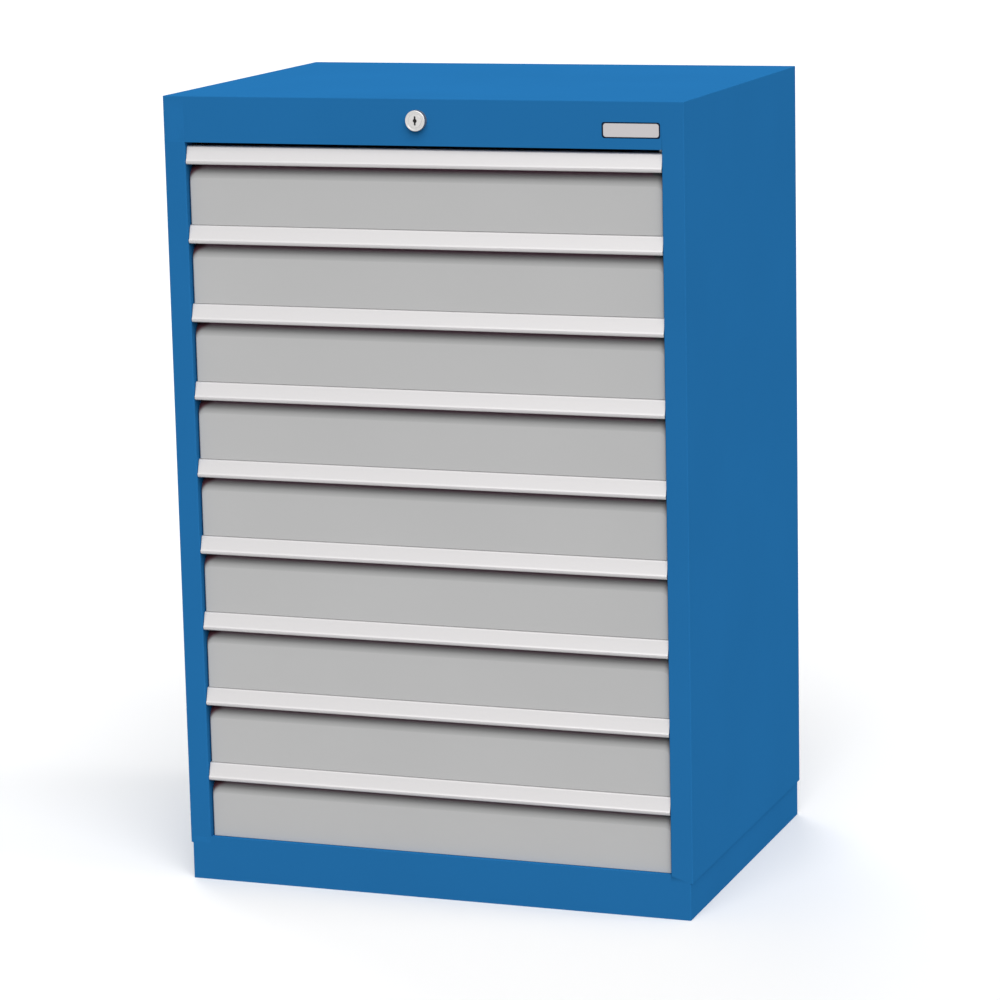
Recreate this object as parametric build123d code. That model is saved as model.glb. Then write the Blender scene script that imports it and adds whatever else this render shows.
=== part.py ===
from build123d import *
import math
import os

# Industrial drawer cabinet, in millimetres.
# X runs to the right, Z up, and the drawers open towards -Y.
# The pieces are drawn with the front frame's face at y = 0 and the floor at z = 0.
# export_node then moves them all back so that the origin is the bottom centre of the whole.

# Cabinet
cabinet_width = 682.0
cabinet_depth = 500.0
carcass_sheet = 1.5
back_sheet = 1.0
post_width = 28.0
post_depth = 26.0
post_lip = 18.0
back_flange = 22.0
edge_radius = 1.0
top_rail_height = 58.0
top_rail_flange = 26.0
sill_height = 9.0
sill_depth = 22.0
stiffener_flange = 20.0

# Plinth
plinth_height = 48.0
plinth_inset = 2.5
plinth_sheet = 2.0
plinth_flange = 27.0
gusset_side = 75.0
gusset_thickness = 3.0
anchor_hole_radius = 5.5
anchor_inset = 42.0

# Drawers
drawer_count = 9
drawer_pitch = 100.0
drawer_travel = 400.0
first_drawer_gap = 5.0
drawer_gap = 2.0
last_drawer_gap = 1.0
drawer_side_gap = 1.5

# Drawer front panel
front_sheet = 1.2
front_recess = 7.5
front_depth = 26.0
front_corner_radius = 4.0
front_bottom_radius = 2.0
finger_recess_start = 41.0
finger_recess_end = 22.0
finger_recess_depth = 13.5
front_rear_lip = 36.0

# Handle strip
handle_end_gap = 0.7
handle_height = 20.0
handle_wall = 1.8
handle_flange_depth = 24.0
handle_top_recess = 6.0
handle_leg = 14.0
handle_leg_gap = 0.5
handle_bead_height = 4.4
handle_bead_rise = 0.7
handle_nose_radius = 2.2
handle_rivet_count = 5

# Drawer tray
tray_sheet = 1.0
tray_length = 444.0
tray_height = 80.0
tray_lift = 4.0
tray_rim = 7.0
tray_rim_drop = 6.0

# Telescopic runners, one channel on the tray, one on the cabinet and a carrier between them
runner_sheet = 1.5
runner_channel_height = 27.0
runner_channel_width = 11.5
runner_length = 446.0
runner_start = 28.0
runner_lift = 12.0
runner_lip_gap = 1.0
runner_web_gap = 1.7
runner_rail_gap = 0.8
roller_width = 8.0
roller_gap = 0.3
roller_pin_radius = 3.0
roller_fit = 0.05
roller_inset = 17.0
roller_spacing = 185.0
hang_lug_length = 4.0
hang_lug_width = 6.0
hang_lug_height = 12.0
hang_lug_gap = 0.5

# Slotted uprights
upright_width = 30.0
upright_start = 46.0
upright_inset_rear = 20.0
upright_setback = 1.0

# Lock
lock_height_in_rail = 31.5
lock_face_radius = 12.8
lock_proud = 8.0
lock_body_radius = 11.0
lock_body_length = 30.0
lock_hole_gap = 0.2
lock_bevel = 0.9
plug_radius = 8.6
plug_fit = 0.05
plug_end_play = 0.4
key_slot_height = 11.0
key_slot_width = 1.8
key_boss_radius = 2.1
key_slot_depth = 14.0
lock_nut_flats = 27.0
lock_nut_thickness = 4.0
crank_radius = 12.0
crank_swing = 90.0
crank_width = 9.0
crank_hub_rim = 1.5
crank_thickness = 2.5
crank_square = 6.0
crank_pin_radius = 2.5
crank_screw_radius = 5.0
crank_screw_height = 2.0

# Bars that carry the lock's turn to the drawers
bar_thickness = 3.0
bar_guide_gap = 0.3
pin_tip = 1.0
bar_edge_margin = 4.0
transfer_bar_depth = 36.5
transfer_bar_height = 18.0
transfer_bar_drop = 22.0
transfer_bar_overhang = 17.0
transfer_pin_radius = 3.0
crank_slot_gap = 0.5
guide_web_insets = (98.0, 223.0)
guide_web_thickness = 2.0
guide_web_margin = 5.0
locking_bar_depth = 30.0
locking_bar_width = 18.0
locking_bar_inset = 3.0
locking_bar_tail = 14.0
hook_reach = 13.0
hook_height = 10.0
hook_lock_overlap = 5.0
hook_catch_gap = 1.5
catch_drop = 22.0
catch_height = 10.0
catch_hook_overlap = 7.0
catch_plate_length = 26.0
catch_thickness = 3.0
stud_radius = 3.0
stud_shoulder = 2.0
stud_head_radius = 6.0
stud_head_height = 2.0
stud_count = 3

# Fixings and nameplate
fixing_hole_gap = 0.1
rivet_radius = 2.0
rivet_head_radius = 3.5
rivet_head_height = 1.2
side_rivet_inset = 60.0
edge_rivet_inset = 50.0
back_rivets_per_side = 7
back_rivets_per_edge = 5
base_bolt_radius = 3.0
base_bolt_flats = 10.0
base_bolt_head = 4.0
base_bolt_places = (150.0, 350.0)
nameplate_width = 73.4
nameplate_height = 19.0
nameplate_radius = 3.0
nameplate_inset = 1.7
nameplate_drop = 35.2
nameplate_sink = 0.7
nameplate_gap = 0.3
nameplate_margin = 4.0
nameplate_end_margin = 1.0
nameplate_flange = 1.2

# Values worked out from the sizes above
half_width = cabinet_width / 2
inner_half_width = half_width - carcass_sheet
opening_half_width = half_width - post_width
opening_bottom = plinth_height + sill_height
drawer_stack = first_drawer_gap + drawer_count * drawer_pitch - drawer_gap + last_drawer_gap
opening_top = opening_bottom + drawer_stack
cabinet_height = opening_top + top_rail_height
top_underside = cabinet_height - carcass_sheet
back_plane = cabinet_depth - carcass_sheet - back_sheet
front_half_width = opening_half_width - drawer_side_gap
tray_start = front_depth
upright_face = opening_half_width + upright_setback
rail_web_face = upright_face - runner_sheet
carrier_space = runner_web_gap + runner_sheet + runner_rail_gap
tray_half_width = upright_face - 2 * runner_channel_width - carrier_space
channel_inner_half = runner_channel_height / 2 - runner_sheet
roller_radius = channel_inner_half - roller_gap
nameplate_centre_x = opening_half_width - nameplate_inset - nameplate_width / 2
lock_z = opening_top + lock_height_in_rail
lock_travel = 2 * crank_radius * math.sin(math.radians(crank_swing / 2))
pin_offset = crank_radius * math.sin(math.radians(crank_swing / 2))
rivet_hole_radius = rivet_radius + fixing_hole_gap
overall_centre_y = (cabinet_depth + rivet_head_height - lock_proud) / 2


def drawer_top(index):
    """Height of a drawer's handle flange, counted from the top drawer, 0."""
    return opening_top - first_drawer_gap - index * drawer_pitch


def slab(x_span, y_span, z_span):
    """A box given by its span along each axis."""
    spans = (x_span, y_span, z_span)
    size = [span[1] - span[0] for span in spans]
    centre = [(span[0] + span[1]) / 2 for span in spans]
    return Pos(*centre) * Box(*size)


def rod_y(radius, x, y_span, z):
    """A round bar along Y."""
    length = y_span[1] - y_span[0]
    return Pos(x, sum(y_span) / 2, z) * Rot(90, 0, 0) * Cylinder(radius, length)


def rod_x(radius, x_span, y, z):
    """A round bar along X."""
    length = x_span[1] - x_span[0]
    return Pos(sum(x_span) / 2, y, z) * Rot(0, 90, 0) * Cylinder(radius, length)


def rod_z(radius, x, y, z_span):
    """A round bar along Z."""
    length = z_span[1] - z_span[0]
    return Pos(x, y, sum(z_span) / 2) * Cylinder(radius, length)


def slot_y(length, width, x, y_span, z, turn):
    """A round-ended slot through a plate that faces Y, turned from X towards Z."""
    profile = SlotOverall(length, width)
    bar = extrude(profile, amount=y_span[1] - y_span[0])
    return Pos(x, y_span[1], z) * Rot(90, 0, 0) * Rot(0, 0, turn) * bar


def spread(start, end, count):
    """Evenly spaced places from start to end."""
    return [start + (end - start) * i / (count - 1) for i in range(count)]


def mirrored(shape):
    """The same piece on the cabinet's left."""
    return mirror(shape, about=Plane.YZ)


def vertical_edges_at(shape, x, y):
    """The edges along Z that stand at one place in plan."""
    edges = shape.edges().filter_by(Axis.Z)
    return edges.filter_by(lambda e: abs(e.center().X - x) < 0.01 and abs(e.center().Y - y) < 0.01)


def export_node(name, pieces):
    """Write one node, as a single solid or a group of separate solids."""
    shape = pieces[0] if len(pieces) == 1 else Compound(children=list(pieces))
    export_step(Pos(0, -overall_centre_y, 0) * shape, f"parts/{name}.step")


# Rivets through the back: places along the two side flanges, and along the top and bottom edges
side_rivet_x = half_width - back_flange / 2
edge_rivet_x = opening_half_width - edge_rivet_inset
side_rivet_heights = spread(
    plinth_height + side_rivet_inset, cabinet_height - side_rivet_inset, back_rivets_per_side
)
edge_rivet_heights = (plinth_height + stiffener_flange / 2, top_underside - stiffener_flange / 2)
edge_rivet_places = spread(-edge_rivet_x, edge_rivet_x, back_rivets_per_edge)


def side_rivet_holes():
    """Holes on the right for the rivets that hold the back to the side flange."""
    span = (back_plane, cabinet_depth)
    return [rod_y(rivet_hole_radius, side_rivet_x, span, z) for z in side_rivet_heights]


def edge_rivet_holes():
    """Holes for the rivets that hold the back to the top and to the floor."""
    span = (back_plane - carcass_sheet, back_plane + back_sheet)
    places = [(x, z) for x in edge_rivet_places for z in edge_rivet_heights]
    return [rod_y(rivet_hole_radius, x, span, z) for x, z in places]


def side_panel():
    """The right side: outer skin, folded front post and rear flange."""
    height = (plinth_height, top_underside)
    inner_edge = opening_half_width
    skin = slab((inner_half_width, half_width), (0, cabinet_depth), height)
    face = slab((inner_edge, half_width), (0, carcass_sheet), height)
    post = slab((inner_edge, inner_edge + carcass_sheet), (0, post_depth), height)
    lip = slab((inner_edge, inner_edge + post_lip), (post_depth - carcass_sheet, post_depth), height)
    rear_span = (cabinet_depth - carcass_sheet, cabinet_depth)
    rear = slab((half_width - back_flange, half_width), rear_span, height)
    side = skin + face + post + lip + rear
    corners = vertical_edges_at(side, half_width, 0) + vertical_edges_at(side, half_width, cabinet_depth)
    side = fillet(corners + vertical_edges_at(side, inner_edge, 0), edge_radius)
    return side - side_rivet_holes()


def top_panel():
    """The flat top, with flanges turned down inside the sides and the back."""
    plate = slab((-half_width, half_width), (0, cabinet_depth), (top_underside, cabinet_height))
    corners = plate.edges().filter_by(Axis.Z)
    plate = fillet(corners, edge_radius)
    drop = (top_underside - stiffener_flange, top_underside)
    side_span = (post_depth, cabinet_depth - carcass_sheet - back_sheet)
    side = slab((inner_half_width - carcass_sheet, inner_half_width), side_span, drop)
    rear_span = (back_plane - carcass_sheet, back_plane)
    rear = slab((-inner_half_width, inner_half_width), rear_span, drop)
    return plate + side + mirrored(side) + rear - edge_rivet_holes()


def transfer_bar_span():
    """Height span of the transfer bar."""
    top = lock_z - (transfer_bar_drop - transfer_bar_height)
    return (top - transfer_bar_height, top)


def guide_web(x):
    """A stiffening web on the top rail, with a window that guides the transfer bar."""
    bar_span = (transfer_bar_depth, transfer_bar_depth + bar_thickness)
    low, high = transfer_bar_span()
    across = (x - guide_web_thickness / 2, x + guide_web_thickness / 2)
    depth = (carcass_sheet, bar_span[1] + guide_web_margin)
    web = slab(across, depth, (opening_top + carcass_sheet, high + guide_web_margin))
    window_y = (bar_span[0] - bar_guide_gap, bar_span[1] + bar_guide_gap)
    window_z = (low - bar_guide_gap, high + bar_guide_gap)
    return web - slab(across, window_y, window_z)


def nameplate_outline(grow_x, grow_z, radius, thickness):
    """A rounded plate of the nameplate's outline, grown at its ends and above and below."""
    sketch = RectangleRounded(nameplate_width + 2 * grow_x, nameplate_height + 2 * grow_z, radius)
    return Rot(90, 0, 0) * extrude(sketch, amount=thickness)


def nameplate_at(y_back):
    """Where the nameplate's back goes, for a slice that ends at y_back."""
    return Pos(nameplate_centre_x, y_back, cabinet_height - nameplate_drop)


def front_rail():
    """The rail over the drawers, with the lock's hole and the nameplate's window."""
    half = opening_half_width
    face = slab((-half, half), (0, carcass_sheet), (opening_top, top_underside))
    flange = slab((-half, half), (0, top_rail_flange), (opening_top, opening_top + carcass_sheet))
    rail = face + flange + [guide_web(half - inset) for inset in guide_web_insets]
    rail -= rod_y(lock_body_radius + lock_hole_gap, 0, (0, carcass_sheet), lock_z)
    gap = nameplate_gap
    window = nameplate_outline(gap, gap, nameplate_radius + gap, carcass_sheet)
    return rail - nameplate_at(carcass_sheet) * window


def nameplate():
    """A blank plate in the rail's window, held by a flange behind the sheet."""
    face = nameplate_outline(0, 0, nameplate_radius, carcass_sheet - nameplate_sink)
    flange = nameplate_outline(nameplate_end_margin, nameplate_margin, nameplate_radius, nameplate_flange)
    return nameplate_at(carcass_sheet) * face + nameplate_at(carcass_sheet + nameplate_flange) * flange


def bottom_panel():
    """The floor, with the sill that closes the front under the last drawer."""
    half = opening_half_width
    floor_z = (plinth_height, plinth_height + carcass_sheet)
    floor_rear = slab((-inner_half_width, inner_half_width), (post_depth, back_plane), floor_z)
    floor_front = slab((-half, half), (0, post_depth), floor_z)
    sill_face = slab((-half, half), (0, carcass_sheet), (plinth_height, opening_bottom))
    sill_top = slab((-half, half), (0, sill_depth), (opening_bottom - carcass_sheet, opening_bottom))
    rise = (plinth_height, plinth_height + stiffener_flange)
    rear = slab((-inner_half_width, inner_half_width), (back_plane - carcass_sheet, back_plane), rise)
    floor = floor_rear + floor_front + sill_face + sill_top + rear
    bolts = [rod_z(base_bolt_radius + fixing_hole_gap, x, y, floor_z) for x, y in base_bolt_points()]
    return floor - edge_rivet_holes() - bolts


def back_panel():
    """The back sheet, riveted in front of the side flanges."""
    span = (back_plane, back_plane + back_sheet)
    sheet = slab((-inner_half_width, inner_half_width), span, (plinth_height, top_underside))
    side_holes = side_rivet_holes()
    return sheet - side_holes - [mirrored(hole) for hole in side_holes] - edge_rivet_holes()


def base_bolt_points():
    """Places in plan of the bolts that hold the carcass on the plinth."""
    x = half_width - plinth_inset - plinth_sheet - plinth_flange / 2
    return [(side * x, y) for side in (-1, 1) for y in base_bolt_places]


def anchor_points():
    """Places in plan of the floor anchor holes."""
    x = half_width - plinth_inset - plinth_sheet - anchor_inset
    front = plinth_sheet + anchor_inset
    rear = cabinet_depth - plinth_inset - plinth_sheet - anchor_inset
    return [(side * x, y) for side in (-1, 1) for y in (front, rear)]


def plinth():
    """The base frame: a skirt with a top flange, and corner gussets with anchor holes."""
    half = half_width - plinth_inset
    rear = cabinet_depth - plinth_inset
    skirt = slab((-half, half), (0, rear), (0, plinth_height))
    wall_half = half - plinth_sheet
    wall_y = (plinth_sheet, rear - plinth_sheet)
    skirt -= slab((-wall_half, wall_half), wall_y, (0, plinth_height - plinth_sheet))
    mouth_half = wall_half - plinth_flange
    mouth_y = (wall_y[0] + plinth_flange, wall_y[1] - plinth_flange)
    skirt -= slab((-mouth_half, mouth_half), mouth_y, (plinth_height - plinth_sheet, plinth_height))
    height = (0, gusset_thickness)
    for side in (-1, 1):
        across = sorted((side * wall_half, side * (wall_half - gusset_side)))
        skirt += slab(across, (wall_y[0], wall_y[0] + gusset_side), height)
        skirt += slab(across, (wall_y[1] - gusset_side, wall_y[1]), height)
    flange_z = (plinth_height - plinth_sheet, plinth_height)
    skirt -= [rod_z(anchor_hole_radius, x, y, height) for x, y in anchor_points()]
    skirt -= [rod_z(base_bolt_radius + fixing_hole_gap, x, y, flange_z) for x, y in base_bolt_points()]
    corners = skirt.edges().filter_by(Axis.Z).filter_by(lambda e: abs(abs(e.center().X) - half) < 0.01)
    return fillet(corners, edge_radius)


def rail_span(index):
    """Height span of one drawer's runner channels."""
    bottom = drawer_top(index) - drawer_pitch + drawer_gap + runner_lift
    return (bottom, bottom + runner_channel_height)


def upright_starts():
    """Front faces of the front and rear uprights."""
    rear = runner_start + runner_length - upright_inset_rear - upright_width
    return (upright_start, rear)


def upright(start):
    """A slotted upright on the right, open towards the side panel."""
    height = (plinth_height + carcass_sheet, top_underside - stiffener_flange)
    across = (upright_face, inner_half_width)
    web = slab((upright_face, upright_face + runner_sheet), (start, start + upright_width), height)
    front = slab(across, (start, start + runner_sheet), height)
    rear = slab(across, (start + upright_width - runner_sheet, start + upright_width), height)
    return web + front + rear - [hang_lug(start, i, hang_lug_gap) for i in range(drawer_count)]


def hang_lug(start, index, grow):
    """The lug by which a cabinet channel hangs in an upright, or with grow its slot."""
    y = start + upright_width / 2
    z = sum(rail_span(index)) / 2
    half_y = hang_lug_width / 2 + grow
    half_z = hang_lug_height / 2 + grow
    across = (upright_face, upright_face + hang_lug_length)
    return slab(across, (y - half_y, y + half_y), (z - half_z, z + half_z))


def cabinet_rail(index):
    """The cabinet's channel for one drawer, on the right, with its two lugs."""
    low, high = rail_span(index)
    length = (runner_start, runner_start + runner_length)
    inner_edge = upright_face - runner_channel_width
    web = slab((rail_web_face, upright_face), length, (low, high))
    under = slab((inner_edge, upright_face), length, (low, low + runner_sheet))
    over = slab((inner_edge, upright_face), length, (high - runner_sheet, high))
    return web + under + over + [hang_lug(start, index, 0) for start in upright_starts()]


def drawer_channel(index):
    """The channel on the right wall of a tray."""
    low, high = rail_span(index)
    length = (runner_start, tray_start + tray_length)
    outer_edge = tray_half_width + runner_channel_width
    web = slab((tray_half_width, tray_half_width + runner_sheet), length, (low, high))
    under = slab((tray_half_width, outer_edge), length, (low, low + runner_sheet))
    over = slab((tray_half_width, outer_edge), length, (high - runner_sheet, high))
    return web + under + over


def carrier_web_span():
    """Where the carrier's web lies between the two channels, across the cabinet."""
    inner = tray_half_width + runner_channel_width + runner_web_gap
    return (inner, inner + runner_sheet)


def roller_places():
    """Places along Y of the inner rollers, in the tray's channel, and of the outer ones."""
    front = runner_start + roller_inset
    rear = runner_start + runner_length - roller_inset
    return (front, front + roller_spacing), (rear - roller_spacing, rear)


def carrier(index):
    """The carrier on the right: a web with stiffening lips and the pins of its rollers."""
    low, high = rail_span(index)
    inner, outer = carrier_web_span()
    length = (runner_start, runner_start + runner_length)
    bottom = low - runner_lip_gap - runner_sheet
    top = high + runner_lip_gap + runner_sheet
    web = slab((inner, outer), length, (bottom, top))
    over = slab((inner, rail_web_face - roller_gap - runner_sheet), length, (top - runner_sheet, top))
    inner_tip = tray_half_width + runner_sheet + roller_gap
    outer_tip = rail_web_face - roller_gap
    under = slab((inner_tip, outer), length, (bottom, bottom + runner_sheet))
    z = (low + high) / 2
    inner_places, outer_places = roller_places()
    pins = [rod_x(roller_pin_radius, (inner_tip, inner), y, z) for y in inner_places]
    pins += [rod_x(roller_pin_radius, (outer, outer_tip), y, z) for y in outer_places]
    return web + over + under + pins


def rollers(index):
    """The four rollers of the carrier on the right."""
    low, high = rail_span(index)
    inner, outer = carrier_web_span()
    z = (low + high) / 2
    inner_places, outer_places = roller_places()
    spans = [((inner - roller_gap - roller_width, inner - roller_gap), y) for y in inner_places]
    spans += [((outer + roller_gap, outer + roller_gap + roller_width), y) for y in outer_places]
    bore = roller_pin_radius + roller_fit
    return [rod_x(roller_radius, span, y, z) - rod_x(bore, span, y, z) for span, y in spans]


def runner_pieces(index):
    """Both carriers of one drawer, with their rollers."""
    right = [carrier(index)] + rollers(index)
    return right + [mirrored(piece) for piece in right]


def front_profile(inset):
    """The drawer front's section in Y and Z, from the handle's top, pulled in by the sheet."""
    face = front_recess + inset
    bottom = -drawer_pitch + drawer_gap + inset
    wall = front_recess + finger_recess_depth + inset
    rise = finger_recess_start - finger_recess_end
    radius = (rise ** 2 + finger_recess_depth ** 2) / (2 * finger_recess_depth)
    centre_y = front_recess + radius
    reach = radius - inset
    sweep = math.acos((centre_y - wall) / reach)
    start, middle, end = [
        (centre_y - reach * math.cos(turn), reach * math.sin(turn) - finger_recess_start)
        for turn in (0, sweep / 2, sweep)
    ]
    curve = ThreePointArc(start, middle, end)
    back = [(wall, -handle_wall), (front_depth, -handle_wall), (front_depth, bottom), (face, bottom)]
    return make_face(curve + Polyline(end, *back, start))


def drawer_front(index):
    """A drawer's front panel: flat face, curved back above for the fingers, and rear lips."""
    shift = Pos(0, 0, drawer_top(index))
    half = front_half_width
    outer = extrude(Plane.YZ * front_profile(0), amount=half, both=True)
    bottom_edge = outer.edges().filter_by(Axis.X).sort_by(Axis.Z)
    bottom_edge = bottom_edge.filter_by(lambda e: abs(e.center().Y - front_recess) < 0.01)[0]
    outer = fillet(bottom_edge, front_bottom_radius)
    plan = Pos(0, front_recess + front_depth, 0)
    plan *= RectangleRounded(2 * half, 2 * front_depth, front_corner_radius)
    outer &= Pos(0, 0, -drawer_pitch) * extrude(plan, amount=drawer_pitch)
    cavity_half = half - front_sheet
    cavity = extrude(Plane.YZ * front_profile(front_sheet), amount=cavity_half, both=True)
    inner_radius = front_corner_radius - front_sheet
    plan_y = front_recess + front_sheet + front_depth
    cavity_plan = Pos(0, plan_y, 0) * RectangleRounded(2 * cavity_half, 2 * front_depth, inner_radius)
    cavity &= Pos(0, 0, -drawer_pitch) * extrude(cavity_plan, amount=drawer_pitch)
    panel = outer - cavity
    lip_y = (front_depth - front_sheet, front_depth)
    lip_z = (-drawer_pitch + drawer_gap, -finger_recess_end)
    lip = slab((half - front_rear_lip, half - front_sheet / 2), lip_y, lip_z)
    panel = panel + lip + mirrored(lip)
    return shift * (panel - handle_rivet_holes())


def handle_rivet_places():
    """Places along X of a handle's rivets, and their height under the handle's top."""
    reach = front_half_width - front_rear_lip
    return spread(-reach, reach, handle_rivet_count), -(handle_wall + handle_leg) / 2


def handle_rivet_holes():
    """Holes for the rivets that hold a handle strip."""
    places, z = handle_rivet_places()
    return [rod_y(rivet_hole_radius, x, (front_recess, handle_flange_depth), z) for x in places]


def handle_profile():
    """The handle strip's section: top flange, sloping face, bead and rounded lip."""
    nose = handle_nose_radius
    bead_z = -(handle_height - handle_bead_height)
    face_low = (handle_bead_rise, bead_z)
    slope = math.atan2(handle_top_recess - handle_bead_rise, -bead_z)
    nose_z = -handle_height + nose
    inner_shift = handle_wall / math.cos(slope)
    top_inner_y = handle_top_recess - handle_wall * math.tan(slope) + inner_shift
    low_inner_z = nose_z + nose
    low_inner_y = handle_top_recess + inner_shift + low_inner_z * math.tan(slope)
    rear = (handle_flange_depth, 0)
    outer = Polyline(rear, (handle_top_recess, 0), face_low, (0, bead_z - handle_bead_rise), (0, nose_z))
    lip = ThreePointArc((0, nose_z), (nose, -handle_height), (2 * nose, nose_z))
    inner = [(2 * nose, nose_z), (low_inner_y, low_inner_z), (top_inner_y, -handle_wall)]
    return make_face(outer + lip + Polyline(*inner, (handle_flange_depth, -handle_wall), rear))


def drawer_handle(index):
    """A drawer's handle strip, with the leg that is riveted to the front."""
    half = opening_half_width - handle_end_gap
    leg_half = front_half_width - front_sheet - handle_leg_gap
    leg_y = (front_recess + finger_recess_depth + front_sheet, handle_flange_depth)
    leg = slab((-leg_half, leg_half), leg_y, (-handle_wall - handle_leg, -handle_wall))
    strip = extrude(Plane.YZ * handle_profile(), amount=half, both=True) + leg - handle_rivet_holes()
    return Pos(0, 0, drawer_top(index)) * strip


def handle_rivets(index):
    """The rivets that hold a handle strip on its drawer front."""
    places, height = handle_rivet_places()
    z = drawer_top(index) + height
    span = (front_recess + finger_recess_depth, handle_flange_depth)
    return [blind_rivet(x, span, z) for x in places]


def ring(half, y_span, wall, z_span):
    """A rectangular ring in plan, symmetric across the cabinet, with an even wall."""
    outer = slab((-half, half), y_span, z_span)
    return outer - slab((wall - half, half - wall), (y_span[0] + wall, y_span[1] - wall), z_span)


def drawer_tray(index):
    """A drawer's tray: floor and four walls, with the rim folded inwards and down."""
    sheet = tray_sheet
    bottom = drawer_top(index) - drawer_pitch + drawer_gap + tray_lift
    top = bottom + tray_height
    length = (tray_start, tray_start + tray_length)
    tray = slab((-tray_half_width, tray_half_width), length, (bottom, bottom + sheet))
    tray += ring(tray_half_width, length, sheet, (bottom, top))
    tray += ring(tray_half_width, length, tray_rim, (top - sheet, top))
    fold = tray_rim - sheet
    fold_length = (length[0] + fold, length[1] - fold)
    return tray + ring(tray_half_width - fold, fold_length, sheet, (top - tray_rim_drop, top))


def catch(index):
    """The catch on the right wall of a tray, which the lock's hook holds."""
    high = drawer_top(index) - catch_drop
    height = (high - catch_height, high)
    start = locking_bar_depth + bar_thickness + hook_catch_gap
    wall = tray_half_width
    tip = opening_half_width + locking_bar_inset - hook_reach + catch_hook_overlap
    plate = slab((wall, wall + catch_thickness), (start, start + catch_plate_length), height)
    tab = slab((wall, tip), (start, start + catch_thickness), height)
    return plate + tab


def drawer_fittings(index):
    """What a drawer carries: two channels and the catch on the tray's walls, and the handle's rivets."""
    channel = drawer_channel(index)
    return [channel, mirrored(channel), catch(index)] + handle_rivets(index)


def lock_housing():
    """The lock's body in the rail, with its round face standing proud."""
    body = rod_y(lock_body_radius, 0, (0, lock_body_length), lock_z)
    face = rod_y(lock_face_radius, 0, (-lock_proud, 0), lock_z)
    front_edge = face.edges().filter_by(GeomType.CIRCLE).sort_by(Axis.Y)[0]
    face = chamfer(front_edge, lock_bevel)
    return body + face - rod_y(plug_radius + plug_fit, 0, (-lock_proud, lock_body_length), lock_z)


def plug_rear():
    """Where the plug ends behind the housing."""
    return lock_body_length + plug_end_play


def lock_plug():
    """The turning plug with its keyhole and square tail."""
    plug = rod_y(plug_radius, 0, (-lock_proud, plug_rear()), lock_z)
    half = crank_square / 2
    tail = (plug_rear(), plug_rear() + crank_thickness)
    plug += slab((-half, half), tail, (lock_z - half, lock_z + half))
    depth = (-lock_proud, -lock_proud + key_slot_depth)
    across = (-key_slot_width / 2, key_slot_width / 2)
    plug -= slab(across, depth, (lock_z - key_slot_height / 2, lock_z + key_slot_height / 2))
    return plug - rod_y(key_boss_radius, 0, depth, lock_z)


def crank():
    """The crank on the plug's tail, whose pin drives the transfer bar."""
    near = plug_rear()
    span = (near, near + crank_thickness)
    pin_x = pin_offset
    pin_z = lock_z - crank_radius * math.cos(math.radians(crank_swing / 2))
    middle_z = (lock_z + pin_z) / 2
    arm = slot_y(crank_radius + crank_width, crank_width, pin_x / 2, span, middle_z, -crank_swing / 2)
    arm += rod_y(crank_width / 2 + crank_hub_rim, 0, span, lock_z)
    half = crank_square / 2
    arm -= slab((-half, half), span, (lock_z - half, lock_z + half))
    pin_end = transfer_bar_depth + bar_thickness + pin_tip
    return arm + rod_y(crank_pin_radius, pin_x, (near, pin_end), pin_z)


def crank_screw():
    """The screw head that keeps the crank on the plug."""
    start = plug_rear() + crank_thickness
    return rod_y(crank_screw_radius, 0, (start, start + crank_screw_height), lock_z)


def transfer_pin_x():
    """Where the transfer bar's pin is across the cabinet, unlocked."""
    return opening_half_width + locking_bar_inset + locking_bar_width / 2


def transfer_bar():
    """The bar behind the top rail that carries the lock's turn to the side."""
    low, high = transfer_bar_span()
    span = (transfer_bar_depth, transfer_bar_depth + bar_thickness)
    pin_x = transfer_pin_x()
    end = pin_x + transfer_pin_radius + bar_edge_margin
    bar = slab((-transfer_bar_overhang, end), span, (low, high))
    swing_low = lock_z - crank_radius
    swing_high = lock_z - crank_radius * math.cos(math.radians(crank_swing / 2))
    half = crank_pin_radius + crank_slot_gap
    bar -= slab((pin_offset - half, pin_offset + half), span, (swing_low - half, swing_high + half))
    pin_start = locking_bar_depth - pin_tip
    return bar + rod_y(transfer_pin_radius, pin_x, (pin_start, span[0]), (low + high) / 2)


def hook_top(index):
    """Top of a hook when the lock is open."""
    catch_low = drawer_top(index) - catch_drop - catch_height
    return catch_low + hook_lock_overlap - lock_travel


def locking_bar():
    """The upright bar: a head plate raised by the transfer bar's pin, a slotted strip and its hooks."""
    span = (locking_bar_depth, locking_bar_depth + bar_thickness)
    left = opening_half_width + locking_bar_inset
    right = left + locking_bar_width
    pin_x = transfer_pin_x()
    pin_z = sum(transfer_bar_span()) / 2
    margin = transfer_pin_radius + bar_guide_gap + bar_edge_margin
    head_low = pin_z - lock_travel - margin
    head = slab((pin_x - lock_travel - margin, right), span, (head_low, pin_z + margin))
    slot_width = 2 * (transfer_pin_radius + bar_guide_gap)
    slot_length = lock_travel * math.sqrt(2) + slot_width
    half_travel = lock_travel / 2
    head -= slot_y(slot_length, slot_width, pin_x - half_travel, span, pin_z - half_travel, 45)
    bottom = hook_top(drawer_count - 1) - hook_height - locking_bar_tail
    strip = slab((left, right), span, (bottom, head_low))
    guide_width = 2 * (stud_radius + bar_guide_gap)
    for z in stud_heights():
        strip -= slot_y(lock_travel + guide_width, guide_width, pin_x, span, z - half_travel, 90)
    tops = [hook_top(i) for i in range(drawer_count)]
    hooks = [slab((left - hook_reach, left), span, (top - hook_height, top)) for top in tops]
    return [head, strip] + hooks


def stud_heights():
    """Heights of the studs that guide the locking bar, each midway between two hooks."""
    first = drawer_top(drawer_count - 1) + drawer_gap
    steps = spread(0, drawer_count - 2, stud_count)
    return [first + round(step) * drawer_pitch for step in steps]


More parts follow.
